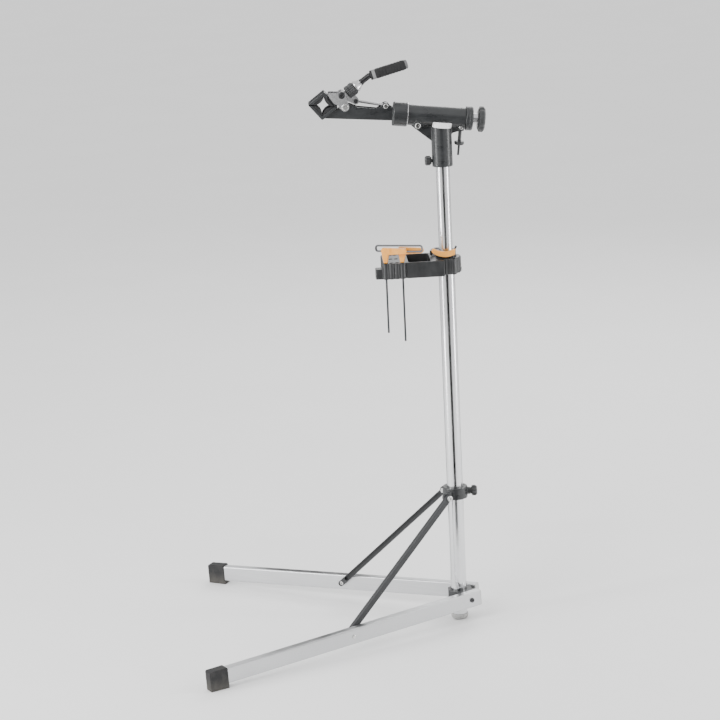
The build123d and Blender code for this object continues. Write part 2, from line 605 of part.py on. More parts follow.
with BuildPart() as rear_ring:
    tube(head_plane(RING_BACK), RING_R, RING_R - SHAFT_R - RUN, HOUSING[0] - RING_BACK)
    back_rims = edges().filter_by(GeomType.CIRCLE).group_by(Axis(SIDE.origin, AHEAD))[0]
    fillet(back_rims.sort_by(SortBy.RADIUS)[-1], 3.0)
save(rear_ring, "rear_ring")

with BuildPart() as housing_bolts:
    bolt(head_plane(*CROSS_BOLT, CROSS_HALF + 6.0, Vector(0, -1, 0)), 3.4, 2 * CROSS_HALF + 6.0, 7.0, 4.5, 3.4)
    nut(head_plane(*CROSS_BOLT, CROSS_HALF, Vector(0, 1, 0)), 3.4, 7.0, 5.0)
    bolt(head_plane(*SIDE_SCREW, -SIDE_SCREW_FACE + 8.0, Vector(0, -1, 0)), 2.4, 8.0, 4.6, 4.0, 2.4)
save(housing_bolts, "housing_bolts")

BADGE_THICK = 0.8
with BuildPart() as badge:
    rod(head_plane(-40.0), HOUSING_R + BADGE_THICK, 80.0)
    rod(Plane.XY.offset(HEAD_Z - 50.0), NECK_R + BADGE_THICK, 50.0)
    with BuildSketch(SIDE.offset(-40.0)) as outline:
        with Locations((-3.0, -17.5)):
            RectangleRounded(44.0, 13.0, 2.5)
    extrude(outline.sketch, amount=36.0, mode=Mode.INTERSECT)
    rod(head_plane(-50.0), HOUSING_R, 100.0, mode=Mode.SUBTRACT)
    rod(Plane.XY.offset(HEAD_Z - 60.0), NECK_R, 60.0, mode=Mode.SUBTRACT)
save(badge, "badge")

with BuildPart() as head_knob:
    face = Plane(origin=(-HEAD_KNOB_FACE, 0, HEAD_KNOB_Z), z_dir=(-1, 0, 0))
    lobed_knob(face, 11.5, 16.0, HEAD_KNOB_FACE - UPPER_R - TIP_GAP, 8)
save(head_knob, "head_knob")

with BuildPart() as lock_screw:
    top = head_plane(LOCK_SCREW_AT, -SHAFT_R - 2.3, 0.0, -ABOVE)
    turned(top, ((0, 0), (4.0, 0), (4.0, 37.0), (11.0, 37.0), (11.5, 41.0)), (8.0, 46.0))
    rod(top.offset(46.0), 2.6, 24.0)
save(lock_screw, "lock_screw")

# ---------------------------------------------------------------- rotating clamp arm
SHAFT_FRONT = 112.0
SPIGOT_R = 8.0
with BuildPart() as arm_shaft:
    rod(head_plane(RING_BACK - 0.3), SHAFT_R, SHAFT_FRONT - RING_BACK + 0.3)
    rod(head_plane(KNOB_FRONT + 0.3), 13.0, RING_BACK - KNOB_FRONT)
    rod(head_plane(KNOB_FRONT - 12.7), SPIGOT_R, 14.0)
save(arm_shaft, "arm_shaft")

with BuildPart() as thrust_washer:
    tube(head_plane(77.4), 27.5, 27.5 - SHAFT_R, 2.0)
save(thrust_washer, "thrust_washer")

with BuildPart() as rear_knob:
    face = head_plane(KNOB_FRONT, 0, 0, -AHEAD)
    turned(face, ((0, 0), (24.0, 0), (30.0, 3.0), (30.0, 12.0)), (24.0, 17.0))
    with BuildSketch(face) as grooves:
        with PolarLocations(32.0, 12):
            Circle(4.0)
    extrude(grooves.sketch, amount=20.0, mode=Mode.SUBTRACT)
    rod(face, SPIGOT_R + RUN, 13.0, mode=Mode.SUBTRACT)
save(rear_knob, "rear_knob")

JAW_PLANE = Plane(origin=CLAMP.from_local_coords((JAW, 0, 0)), x_dir=AHEAD, z_dir=(0, 1, 0))


def jaw_half(corner):
    """The lower half of a diamond with a blunt tip, in the jaw's own plane."""
    with BuildLine() as outline:
        FilletPolyline((-corner, -JAW_SPLIT), (0.0, JAW_SPLIT - corner), (corner, -JAW_SPLIT), radius=3.0)
        Line((corner, -JAW_SPLIT), (-corner, -JAW_SPLIT))
    return outline.wire()


with BuildPart() as clamp_arm:
    tube(head_plane(79.8), 28.5, 28.5 - SHAFT_R, 32.7)
    front_rims = edges().filter_by(GeomType.CIRCLE).group_by(Axis(SIDE.origin, AHEAD))[-1]
    fillet(front_rims.sort_by(SortBy.RADIUS)[-1], 3.0)
    with BuildSketch(CLAMP):
        with BuildLine():
            Polyline((112.5, -24.0), (271.0, -29.5), (255.0, -12.0), (240.0, -7.0), (232.0, 5.0), (225.0, 8.5),
                     (212.0, 7.0), (196.0, 2.0), (150.0, 1.0), (141.0, 8.0), (137.0, 14.0), (131.0, 16.5),
                     (125.0, 14.0), (120.0, 8.0), (112.5, 6.0), close=True)
        make_face()
    extrude(amount=ARM_HALF, both=True)
    with BuildSketch(CLAMP):
        with BuildLine():
            Polyline((116.0, -20.5), (238.0, -24.7), (238.0, 30.0), (116.0, 30.0), close=True)
        make_face()
    extrude(amount=CHANNEL_HALF, both=True, mode=Mode.SUBTRACT)
    with BuildSketch(JAW_PLANE):
        make_face(jaw_half(JAW_CORNER))
    extrude(amount=JAW_DEEP, both=True, mode=Mode.SUBTRACT)
    rod(clamp_plane(*PIVOT_A, -40.0, Vector(0, 1, 0)), 5.0, 80.0, mode=Mode.SUBTRACT)
    rod(clamp_plane(*PIVOT_B, -40.0, Vector(0, 1, 0)), 4.0, 80.0, mode=Mode.SUBTRACT)
save(clamp_arm, "clamp_arm")

with BuildPart() as arm_pivot_bolts:
    plates_half = PLATE_FACES[1] + 0.3
    for spot, shank_r, head_r, half in ((PIVOT_A, 5.0, 8.0, plates_half), (PIVOT_B, 4.0, 6.0, ARM_HALF)):
        bolt(clamp_plane(*spot, half, Vector(0, -1, 0)), shank_r, 2 * half, head_r, 4.0)
        rod(clamp_plane(*spot, half, Vector(0, 1, 0)), head_r - 1.0, 2.5)
save(arm_pivot_bolts, "arm_pivot_bolts")

with BuildPart() as lower_jaw:
    with BuildSketch(JAW_PLANE):
        make_face(jaw_half(JAW_CORNER))
        make_face(jaw_half(JAW_MOUTH), mode=Mode.SUBTRACT)
    extrude(amount=JAW_DEEP, both=True)
save(lower_jaw, "lower_jaw")

with BuildPart() as lower_jaw_pads:
    with BuildSketch(JAW_PLANE):
        with BuildLine():
            Line((25.0, -1.0), (18.0, -1.0))
            ThreePointArc((18.0, -1.0), (6.4, -7.4), (0.4, -19.0))
            Polyline((0.4, -19.0), (0.4, -22.7), (2.2, -21.9), (25.0, -1.0))
        make_face()
    extrude(amount=JAW_DEEP - 1.0, both=True)
    mirror(about=Plane(origin=JAW_PLANE.origin, z_dir=AHEAD))
save(lower_jaw_pads, "lower_jaw_pads")

# ---------------------------------------------------------------- upper jaw on its bell-crank plates
CLAMP_LEVEL = Plane(origin=CLAMP.origin, z_dir=ABOVE)
with BuildPart() as jaw_plates:
    with BuildSketch(CLAMP.offset(PLATE_FACES[0])):
        with BuildLine():
            Polyline((232.0, -7.0), (238.0, -3.0), (241.0, 3.0), (252.0, 7.0), (266.0, 24.0), (266.0, 30.0),
                     (256.0, 31.0), (243.0, 31.5), (226.5, 30.0), (215.5, 3.0), close=True)
        make_face()
        with Locations(PIVOT_A):
            Circle(10.0)
        with Locations(PIVOT_C):
            Circle(9.5)
        with Locations(PIVOT_A):
            Circle(5.0 + RUN, mode=Mode.SUBTRACT)
        with Locations(PIVOT_C):
            Circle(4.5, mode=Mode.SUBTRACT)
    extrude(amount=PLATE_FACES[1] - PLATE_FACES[0])
    mirror(about=Plane.XZ)
save(jaw_plates, "jaw_plates")

with BuildPart() as upper_jaw:
    mirror(lower_jaw.part, about=CLAMP_LEVEL)
    with BuildSketch(CLAMP.offset(PLATE_FACES[0])):
        with Locations((250.0, 12.0)):
            Rectangle(36.0, 56.0)
    cut = extrude(amount=20.0, mode=Mode.SUBTRACT)
    mirror(cut, about=Plane.XZ, mode=Mode.SUBTRACT)
save(upper_jaw, "upper_jaw")

with BuildPart() as upper_jaw_pads:
    mirror(lower_jaw_pads.part, about=CLAMP_LEVEL)
save(upper_jaw_pads, "upper_jaw_pads")

with BuildPart() as jaw_bolts:
    bolt(clamp_plane(*PIVOT_C, PLATE_FACES[1], Vector(0, -1, 0)), 4.5, 2 * PLATE_FACES[1], 8.0, 4.5, 4.0)
    nut(clamp_plane(*PIVOT_C, PLATE_FACES[1], Vector(0, 1, 0)), 2.0, 8.0, 5.0)
save(jaw_bolts, "jaw_bolts")

# ---------------------------------------------------------------- handle and toggle link
STEM_FOOT = clamp_point(*STEM_START)
BEND = clamp_point(*STEM_END)
STEM_LINE = BEND - STEM_FOOT
GRIP_LINE = clamp_point(*GRIP_END) - BEND
STEM = Plane(origin=STEM_FOOT, x_dir=(0, 1, 0), z_dir=STEM_LINE)
GRIP = Plane(origin=BEND, x_dir=(0, 1, 0), z_dir=GRIP_LINE)
YOKE_HALF = 10.0
SLOT_HALF = 4.6
with BuildPart() as handle_yoke:
    with BuildSketch(CLAMP):
        with BuildLine():
            Polyline((240.0, 20.5), (201.0, 7.0), (194.0, 13.0), (196.0, 24.0), (209.0, 32.0), (229.0, 35.5),
                     (241.0, 33.5), close=True)
        make_face()
        with Locations(PIVOT_C, PIVOT_D):
            Circle(8.0)
    extrude(amount=YOKE_HALF, both=True)
    with BuildSketch(CLAMP):
        with Locations((195.0, 16.0)):
            Rectangle(60.0, 26.0)
    extrude(amount=SLOT_HALF, both=True, mode=Mode.SUBTRACT)
    with BuildSketch(STEM):
        Circle(BARREL_R + 1.4)
    extrude(amount=60.0, mode=Mode.SUBTRACT)
    rod(STEM.offset(-6.0), 7.0, 6.0 + BARREL_LENGTH + 0.6)
    rod(clamp_plane(*PIVOT_C, -30.0, Vector(0, 1, 0)), 4.5 + RUN, 60.0, mode=Mode.SUBTRACT)
    rod(clamp_plane(*PIVOT_D, -30.0, Vector(0, 1, 0)), 3.0, 60.0, mode=Mode.SUBTRACT)
save(handle_yoke, "handle_yoke")

with BuildPart() as handle_neck:
    flare = ((0, 0), (14.0, 0), (14.0, 3.0), (8.0, 14.0))
    turned(STEM.offset(BARREL_LENGTH + 0.6), flare, (NECK_ROD_R, STEM_LINE.length - BARREL_LENGTH - 3.0))
    with Locations(BEND):
        Sphere(NECK_ROD_R)
    rod(GRIP, GRIP_CORE_R, GRIP_LINE.length - 5.0)
save(handle_neck, "handle_neck")

with BuildPart() as handle_grip:
    grip_long = GRIP_LINE.length - CAP_LONG - GRIP_START - 0.2
    turned(GRIP.offset(GRIP_START), ((GRIP_CORE_R, 0), (11.2, 0), (11.2, 4.0), (11.9, 7.0), (11.6, 66.0)),
           (11.2, grip_long))
    rod(GRIP.offset(GRIP_START - 1.0), GRIP_CORE_R, GRIP_LINE.length, mode=Mode.SUBTRACT)
save(handle_grip, "handle_grip")

with BuildPart() as grip_cap:
    turned(GRIP.offset(GRIP_LINE.length - CAP_LONG), ((0, 0), (10.6, 0), (10.6, 3.0)), (7.0, CAP_LONG))
    rod(GRIP.offset(GRIP_LINE.length - 20.0), GRIP_CORE_R, 15.0, mode=Mode.SUBTRACT)
save(grip_cap, "grip_cap")

with BuildPart() as adjuster:
    with BuildSketch(STEM.offset(0.3)):
        Circle(BARREL_R - 0.8)
        with PolarLocations(BARREL_R - 0.8, 16):
            Circle(1.6)
        Circle(7.0 + RUN, mode=Mode.SUBTRACT)
    extrude(amount=BARREL_LENGTH - 0.3)
save(adjuster, "adjuster")

with BuildPart() as toggle_link:
    link_line = clamp_point(*PIVOT_D) - clamp_point(*PIVOT_B)
    rod(Plane(origin=clamp_point(*PIVOT_B), z_dir=link_line).offset(4.0), 3.2, link_line.length - 8.0)
    for spot, boss_r in ((PIVOT_B, 6.6), (PIVOT_D, 4.8)):
        rod(clamp_plane(*spot, -SLOT_HALF + SKIM, Vector(0, 1, 0)), boss_r, 2 * (SLOT_HALF - SKIM))
    rod(clamp_plane(*PIVOT_B, -20.0, Vector(0, 1, 0)), 4.0 + RUN, 40.0, mode=Mode.SUBTRACT)
save(toggle_link, "toggle_link")

with BuildPart() as link_pin:
    for side in (-1, 1):
        stub = clamp_plane(*PIVOT_D, side * (SLOT_HALF + 0.6), Vector(0, side, 0))
        bolt(stub, 3.0, YOKE_HALF - SLOT_HALF - 0.6, 5.0, 2.0)
save(link_pin, "link_pin")
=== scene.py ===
"""Looks of the folding bicycle repair stand: materials, detailed pieces, studio and camera.

Metres, +Z up. Lengths in the piece tables below are in millimetres, and MM turns them into metres.
"""

import json
from math import atan2, cos, pi, radians, sin, sqrt, tan

import bmesh
import bpy
from mathutils import Euler, Matrix, Vector


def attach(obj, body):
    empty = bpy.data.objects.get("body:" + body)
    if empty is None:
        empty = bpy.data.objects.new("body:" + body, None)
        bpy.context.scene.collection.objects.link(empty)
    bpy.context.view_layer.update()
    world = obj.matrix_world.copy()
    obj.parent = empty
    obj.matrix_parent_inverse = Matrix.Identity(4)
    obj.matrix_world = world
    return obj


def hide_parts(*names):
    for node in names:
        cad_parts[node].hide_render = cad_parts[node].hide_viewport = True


MM = 0.001
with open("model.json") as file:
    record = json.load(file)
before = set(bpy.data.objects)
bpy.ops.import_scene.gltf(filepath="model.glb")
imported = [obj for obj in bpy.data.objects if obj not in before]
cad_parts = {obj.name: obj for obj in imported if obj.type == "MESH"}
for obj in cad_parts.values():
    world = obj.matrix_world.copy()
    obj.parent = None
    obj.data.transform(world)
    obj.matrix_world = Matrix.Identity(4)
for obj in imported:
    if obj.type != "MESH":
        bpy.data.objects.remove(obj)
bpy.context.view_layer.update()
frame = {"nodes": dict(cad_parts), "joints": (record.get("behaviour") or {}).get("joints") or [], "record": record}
RECORD = frame["record"]
NODES = frame["nodes"]
JOINTS = {j["name"]: j for j in frame["joints"]}
BODY_OF = {node: body for body, nodes in RECORD["behaviour"]["bodies"].items() for node in nodes}
SLOT_OF = {row["node"]: row["material_slot"] for row in RECORD["subparts"]}

# ---------------------------------------------------------------- frames of the moving groups


def joint_point(name):
    return Vector(JOINTS[name]["pos_m"])


def joint_axis(name):
    return Vector(JOINTS[name]["axis"]).normalized()


ORIGIN = Vector((0, 0, 0))
UP = Vector((0, 0, 1))
HEAD = joint_point("clamp_rotate")
AHEAD = joint_axis("clamp_rotate")  # along the head, towards the jaws
ABOVE = Vector((0, 1, 0)).cross(AHEAD)
JAW_PIVOT = joint_point("jaw_open")
JAW_PIVOT_AHEAD = 225.0  # the jaws' pivot, ahead of the post
LEG_FAR_TURN = joint_axis("leg_far_fold")  # points outwards from the far leg's side


def clamp_point(ahead, above, across=0.0):
    """A point in millimetres ahead of the post, and above and beside the line through the jaws' middle."""
    return JAW_PIVOT + (AHEAD * (ahead - JAW_PIVOT_AHEAD) + ABOVE * above + Vector((0, across, 0))) * MM


# ---------------------------------------------------------------- node materials


def set_range(node, from_low, from_high, low, high):
    node.inputs["From Min"].default_value = from_low
    node.inputs["From Max"].default_value = from_high
    node.inputs["To Min"].default_value = low
    node.inputs["To Max"].default_value = high


class Finish:
    """A node material being built: one Principled shader and the textures that drive it."""

    def __init__(self, name, colour, roughness, metallic=0.0, specular=0.5):
        self.material = bpy.data.materials.new(name)
        self.material.use_nodes = True
        self.tree = self.material.node_tree
        self.shader = self.tree.nodes["Principled BSDF"]
        self.shader.inputs["Base Color"].default_value = (*colour, 1)
        self.shader.inputs["Roughness"].default_value = roughness
        self.shader.inputs["Metallic"].default_value = metallic
        self.shader.inputs["Specular IOR Level"].default_value = specular
        self.place = self.tree.nodes.new("ShaderNodeTexCoord").outputs["Object"]
        self.last_bump = None

    def node(self, kind, **settings):
        made = self.tree.nodes.new(kind)
        for key, value in settings.items():
            setattr(made, key, value)
        return made

    def sized(self, size, turn=(0, 0, 0)):
        """Coordinates in which one unit is size metres along each of the turned axes."""
        mapping = self.node("ShaderNodeMapping", vector_type="TEXTURE")
        mapping.inputs["Scale"].default_value = size if hasattr(size, "__len__") else (size,) * 3
        mapping.inputs["Rotation"].default_value = turn
        self.tree.links.new(self.place, mapping.inputs["Vector"])
        return mapping.outputs["Vector"]

    def noise(self, size, turn=(0, 0, 0), detail=4.0, rough=0.6):
        made = self.node("ShaderNodeTexNoise")
        made.inputs["Scale"].default_value = 1.0
        made.inputs["Detail"].default_value = detail
        made.inputs["Roughness"].default_value = rough
        self.tree.links.new(self.sized(size, turn), made.inputs["Vector"])
        return made.outputs["Fac"]

    def pits(self, size):
        made = self.node("ShaderNodeTexVoronoi")
        made.inputs["Scale"].default_value = 1.0
        self.tree.links.new(self.sized(size), made.inputs["Vector"])
        return made.outputs["Distance"]

    def spread(self, value, low, high, from_low=0.3, from_high=0.7):
        made = self.node("ShaderNodeMapRange")
        set_range(made, from_low, from_high, low, high)
        self.tree.links.new(value, made.inputs["Value"])
        return made.outputs["Result"]

    def times(self, a, b):
        made = self.node("ShaderNodeMath", operation="MULTIPLY")
        self.tree.links.new(a, made.inputs[0])
        self.tree.links.new(b, made.inputs[1])
        return made.outputs["Value"]

    def height(self, low, high):
        """A value from 0 at the height low to 1 at the height high, in metres over the floor."""
        split = self.node("ShaderNodeSeparateXYZ")
        self.tree.links.new(self.place, split.inputs["Vector"])
        return self.spread(split.outputs["Z"], 0.0, 1.0, low, high)

    def edges(self, radius):
        """A mask that is 1 on convex and concave edges and 0 on open faces."""
        bevel = self.node("ShaderNodeBevel", samples=4)
        bevel.inputs["Radius"].default_value = radius
        geometry = self.node("ShaderNodeNewGeometry")
        dot = self.node("ShaderNodeVectorMath", operation="DOT_PRODUCT")
        self.tree.links.new(bevel.outputs["Normal"], dot.inputs[0])
        self.tree.links.new(geometry.outputs["Normal"], dot.inputs[1])
        sharpest, flattest = 0.86, 0.985
        return self.spread(dot.outputs["Value"], 1.0, 0.0, sharpest, flattest)

    def mix(self, factor, base, other):
        """Colours the surface base, and other where factor is 1. base may be an earlier colour output."""
        made = self.node("ShaderNodeMix", data_type="RGBA")
        self.tree.links.new(factor, made.inputs["Factor"])
        for socket, colour in (("A", base), ("B", other)):
            place = next(s for s in made.inputs if s.name == socket and s.type == "RGBA")
            if isinstance(colour, tuple):
                place.default_value = (*colour, 1)
            else:
                self.tree.links.new(colour, place)
        result = next(s for s in made.outputs if s.type == "RGBA")
        self.tree.links.new(result, self.shader.inputs["Base Color"])
        return result

    def rough(self, value):
        self.tree.links.new(value, self.shader.inputs["Roughness"])

    def bump(self, height, strength, depth):
        made = self.node("ShaderNodeBump")
        made.inputs["Strength"].default_value = strength
        made.inputs["Distance"].default_value = depth
        self.tree.links.new(height, made.inputs["Height"])
        if self.last_bump is not None:
            self.tree.links.new(self.last_bump, made.inputs["Normal"])
        self.tree.links.new(made.outputs["Normal"], self.shader.inputs["Normal"])
        self.last_bump = made.outputs["Normal"]


def drawn_metal(name, colour, shadow, roughness, line, turn=(0, 0, 0), long_axis=2):
    """Extruded or drawn bright metal, with fine lines along its length, hazy patches and a few scuffs."""
    finish = Finish(name, colour, roughness, metallic=1.0)
    line_size = [line] * 3
    line_size[long_axis] = 0.16
    streaks = finish.noise(line_size, turn, 3.0)
    haze = finish.noise(0.06, detail=5.0)
    scuff_size = [3 * line] * 3
    scuff_size[long_axis] = 0.02
    scuffs = finish.noise(scuff_size, turn, 6.0, 0.75)
    shade = finish.mix(finish.spread(streaks, 0.0, 1.0), shadow, colour)
    finish.mix(finish.spread(scuffs, 0.0, 0.22, 0.66, 0.76), shade, tuple(0.8 * c for c in colour))
    finish.rough(finish.spread(haze, roughness - 0.05, roughness + 0.09))
    finish.bump(streaks, 0.12, 0.0001)
    return finish.material


def coated_metal(name, colour, roughness, worn):
    """Satin powder coat: orange peel, faint dust and handling marks, and edges rubbed lighter."""
    finish = Finish(name, colour, roughness, specular=0.5)
    peel = finish.noise(0.0011, detail=2.0)
    marks = finish.noise((0.03, 0.03, 0.012), detail=8.0, rough=0.7)
    dust = finish.noise(0.0045, detail=6.0, rough=0.8)
    shade = finish.mix(finish.spread(marks, 0.0, 1.0), colour, tuple(1.7 * c for c in colour))
    shade = finish.mix(finish.spread(dust, 0.0, 0.5, 0.62, 0.78), shade, tuple(3.0 * c for c in colour))
    rub = finish.times(finish.edges(0.0011), finish.spread(dust, 0.25, 1.0, 0.4, 0.6))
    finish.mix(rub, shade, worn)
    finish.rough(finish.spread(marks, roughness - 0.08, roughness + 0.1))
    finish.bump(peel, 0.22, 0.0002)
    return finish.material


def moulded(name, colour, roughness, grain, lighter, depth=0.00015):
    """Moulded plastic with an etched grain, slightly paler where it is rubbed."""
    finish = Finish(name, colour, roughness, specular=0.5)
    skin = finish.pits(grain)
    flow = finish.noise((0.02, 0.02, 0.045), detail=5.0)
    between = tuple(dark + 0.5 * (light - dark) for dark, light in zip(colour, lighter))
    shade = finish.mix(finish.spread(flow, 0.0, 1.0), colour, between)
    rub = finish.times(finish.edges(0.0009), finish.spread(flow, 0.3, 0.9))
    finish.mix(rub, shade, lighter)
    finish.rough(finish.spread(flow, roughness - 0.05, roughness + 0.08))
    finish.bump(skin, 0.3, depth)
    return finish.material


def rubber(name, colour, dusty, roughness=0.78, dirt=None):
    """Soft rubber with a fine dry grain and dust in patches, dirtier near the floor if dirt is given."""
    finish = Finish(name, colour, roughness, specular=0.35)
    grain = finish.noise(0.0009, detail=5.0, rough=0.7)
    patches = finish.noise((0.012, 0.012, 0.02), detail=7.0, rough=0.7)
    shade = finish.mix(finish.spread(patches, 0.0, 0.8, 0.45, 0.75), colour, dusty)
    if dirt:
        low = finish.times(finish.height(0.03, 0.0), finish.spread(patches, 0.5, 1.0))
        finish.mix(low, shade, dirt)
    finish.rough(finish.spread(patches, roughness - 0.06, roughness + 0.12))
    finish.bump(grain, 0.35, 0.0003)
    return finish.material


def machined(name, colour, dark, roughness, size=0.0007):
    """Plated or brushed small parts: fine random lines, cloudy plating and darker corners."""
    finish = Finish(name, colour, roughness, metallic=1.0)
    lines = finish.noise((size, size, 12 * size), detail=3.0)
    cloud = finish.noise(0.006, detail=5.0)
    shade = finish.mix(finish.spread(cloud, 0.0, 1.0), colour, tuple(0.82 * c for c in colour))
    finish.mix(finish.times(finish.edges(0.0006), finish.spread(cloud, 0.3, 0.9)), shade, dark)
    finish.rough(finish.spread(lines, roughness - 0.05, roughness + 0.1))
    finish.bump(lines, 0.15, 0.00008)
    return finish.material


LEG_TURN = Euler((0, 0, atan2(LEG_FAR_TURN.y, LEG_FAR_TURN.x) + pi / 2))
MATERIALS = {
    "tube_silver": drawn_metal("anodised_tube", (0.76, 0.765, 0.775), (0.68, 0.685, 0.695), 0.19, 0.0011),
    "leg_silver": drawn_metal(
        "anodised_leg", (0.64, 0.645, 0.655), (0.55, 0.555, 0.565), 0.33, 0.0012, tuple(LEG_TURN), 0
    ),
    "cast_black": coated_metal("powder_black", (0.018, 0.019, 0.020), 0.30, (0.085, 0.087, 0.09)),
    "strut_black": coated_metal("painted_strut", (0.017, 0.0175, 0.019), 0.44, (0.12, 0.122, 0.126)),
    "plastic_black": moulded("moulded_black", (0.019, 0.020, 0.021), 0.34, 0.0008, (0.06, 0.061, 0.063)),
    "neck_black": moulded("gloss_black", (0.012, 0.012, 0.013), 0.17, 0.0016, (0.03, 0.03, 0.031), 0.00002),
    "bush_plastic": moulded("acetal", (0.62, 0.62, 0.59), 0.42, 0.0007, (0.72, 0.72, 0.70)),
    "foot_grey": rubber(
        "foot_rubber_grey", (0.50, 0.505, 0.50), (0.60, 0.60, 0.59), 0.62, (0.20, 0.195, 0.185)
    ),
    "foot_rubber": rubber(
        "foot_rubber_black", (0.020, 0.020, 0.021), (0.055, 0.054, 0.052), 0.8, (0.085, 0.08, 0.072)
    ),
    "pad_rubber": rubber("grip_rubber", (0.016, 0.016, 0.017), (0.036, 0.036, 0.037), 0.76),
    "grip_cap_grey": rubber("cap_rubber", (0.13, 0.13, 0.135), (0.2, 0.2, 0.2), 0.6),
    "steel_bright": machined("brushed_plate", (0.66, 0.66, 0.67), (0.35, 0.35, 0.36), 0.27),
    "bolt_steel": machined("zinc_plate", (0.70, 0.70, 0.69), (0.30, 0.30, 0.30), 0.24),
    "bolt_black": machined("black_oxide", (0.075, 0.075, 0.078), (0.25, 0.25, 0.25), 0.36),
    "blade_steel": machined("tool_steel", (0.16, 0.16, 0.168), (0.35, 0.35, 0.36), 0.30),
    "wrench_orange": moulded(
        "orange_moulding", (0.83, 0.33, 0.045), 0.30, 0.0011, (0.95, 0.50, 0.12), 0.00008
    ),
    "badge_white": moulded("badge_plate", (0.78, 0.78, 0.78), 0.3, 0.001, (0.86, 0.86, 0.86)),
}
BAND_RUBBER = rubber("band_rubber", (0.20, 0.20, 0.205), (0.27, 0.27, 0.27), 0.6)

for node, cad_object in NODES.items():
    cad_object.data.materials.clear()
    cad_object.data.materials.append(MATERIALS[SLOT_OF[node]])


# ---------------------------------------------------------------- mesh helpers


def finished(bm, name, angle=35.0):
    """A linked object of this mesh, shaded smooth except across edges sharper than angle."""
    bmesh.ops.recalc_face_normals(bm, faces=bm.faces)
    mesh = bpy.data.meshes.new(name)
    bm.to_mesh(mesh)
    bm.free()
    made = bpy.data.objects.new(name, mesh)
    bpy.context.scene.collection.objects.link(made)
    mesh.shade_smooth()
    mesh.set_sharp_from_angle(angle=radians(angle))
    return made


def dressed(piece, node, material=None, stands_for=True):
    """The piece rides on the node's body, has its slot's material and, unless told not to, stands for it."""
    piece.data.materials.clear()
    piece.data.materials.append(material or MATERIALS[SLOT_OF[node]])
    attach(piece, BODY_OF[node])
    if stands_for:
        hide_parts(node)
    return piece


def rounded(points, radius, steps=5):
    """An outline of (r, h) points with its inner corners turned into arcs."""
    out = [points[0]]
    for before, corner, after in zip(points, points[1:], points[2:]):
        a = Vector(before) - Vector(corner)
        b = Vector(after) - Vector(corner)
        half = a.angle(b) / 2
        if half > radians(87):  # as good as straight
            out.append(corner)
            continue
        back = min(radius / tan(half), 0.45 * a.length, 0.45 * b.length)
        start = Vector(corner) + a.normalized() * back
        end = Vector(corner) + b.normalized() * back
        for step in range(steps + 1):
            t = step / steps
            out.append(tuple(start * (1 - t) ** 2 + Vector(corner) * 2 * t * (1 - t) + end * t * t))
    out.append(points[-1])
    return out


def add_turned(bm, start, axis, outline, segments=72, shape=None):
    """Adds a closed turned body to bm: outline is (radius, height) in mm from the axis and back to it."""
    axis = axis.normalized()
    side = axis.orthogonal().normalized()
    other = axis.cross(side)
    rings = []
    for radius, height in outline:
        middle = start + axis * height * MM
        if radius < 1e-4:  # the outline is on the axis
            rings.append([bm.verts.new(middle)])
            continue
        ring = []
        for k in range(segments):
            theta = 2 * pi * k / segments
            reach = (shape(theta, radius, height) if shape else radius) * MM
            ring.append(bm.verts.new(middle + (side * cos(theta) + other * sin(theta)) * reach))
        rings.append(ring)
    for lower, upper in zip(rings, rings[1:]):
        for k in range(segments):
            nxt = (k + 1) % segments
            below = [lower[k % len(lower)], lower[nxt % len(lower)]]
            over = [upper[nxt % len(upper)], upper[k % len(upper)]]
            corners = list(dict.fromkeys(below + over))
            if len(corners) > 2:
                bm.faces.new(corners)


def turned(name, start, axis, outline, segments=72, shape=None, angle=35.0):
    bm = bmesh.new()
    add_turned(bm, start, axis, outline, segments, shape)
    return finished(bm, name, angle)


def softened(name, node, voxel, rounds, keep):
    """The node's own shape as a casting: its edges and inside corners rounded by about two voxels."""
    shell = bpy.data.objects.new(name + "_form", NODES[node].data.copy())
    bpy.context.scene.collection.objects.link(shell)
    remesh = shell.modifiers.new("Remesh", "REMESH")
    remesh.mode = "VOXEL"
    remesh.voxel_size = voxel * MM
    remesh.adaptivity = 0.0
    smooth = shell.modifiers.new("Smooth", "SMOOTH")
    smooth.iterations = rounds
    smooth.factor = 0.5
    thin = shell.modifiers.new("Thin", "DECIMATE")
    thin.ratio = keep
    evaluated = shell.evaluated_get(bpy.context.evaluated_depsgraph_get())
    mesh = bpy.data.meshes.new_from_object(evaluated)
    bpy.data.objects.remove(shell)
    mesh.name = name
    made = bpy.data.objects.new(name, mesh)
    bpy.context.scene.collection.objects.link(made)
    mesh.shade_smooth()
    mesh.set_sharp_from_angle(angle=radians(60))
    return dressed(made, node)


def eased(node, width):
    """Softens the edges of a CAD node with a small bevel, keeping its mesh."""
    piece = NODES[node]
    weld = piece.modifiers.new("Weld", "WELD")
    weld.merge_threshold = 1e-6
    flat = piece.modifiers.new("Flat", "DECIMATE")
    flat.decimate_type = "DISSOLVE"
    flat.angle_limit = radians(1.0)
    bevel = piece.modifiers.new("Edges", "BEVEL")
    bevel.width = width * MM
    bevel.segments = 2
    bevel.limit_method = "ANGLE"
    bevel.angle_limit = radians(28)
    bevel.harden_normals = True


# ---------------------------------------------------------------- post and foot


def node_heights(node):
    """Lowest and highest place of a node, in millimetres over the floor."""
    places = [vertex.co.z / MM for vertex in NODES[node].data.vertices]
    return min(places), max(places)


LOWER_R, LOWER_INNER = 19.05, 17.45
UPPER_R, UPPER_INNER = 15.9, 14.4
TIP_GAP = 0.2  # between the tip of a knob's screw and the tube


def make_post():
    for node, name, outer, inner in (
        ("lower_tube", "post_lower", LOWER_R, LOWER_INNER),
        ("upper_tube", "post_upper", UPPER_R, UPPER_INNER),
    ):
        low, high = node_heights(node)
        outline = rounded([(inner, low), (outer, low), (outer, high), (inner, high), (inner, low)], 0.5, 3)
        dressed(turned(name, ORIGIN, UP, outline, 128), node)


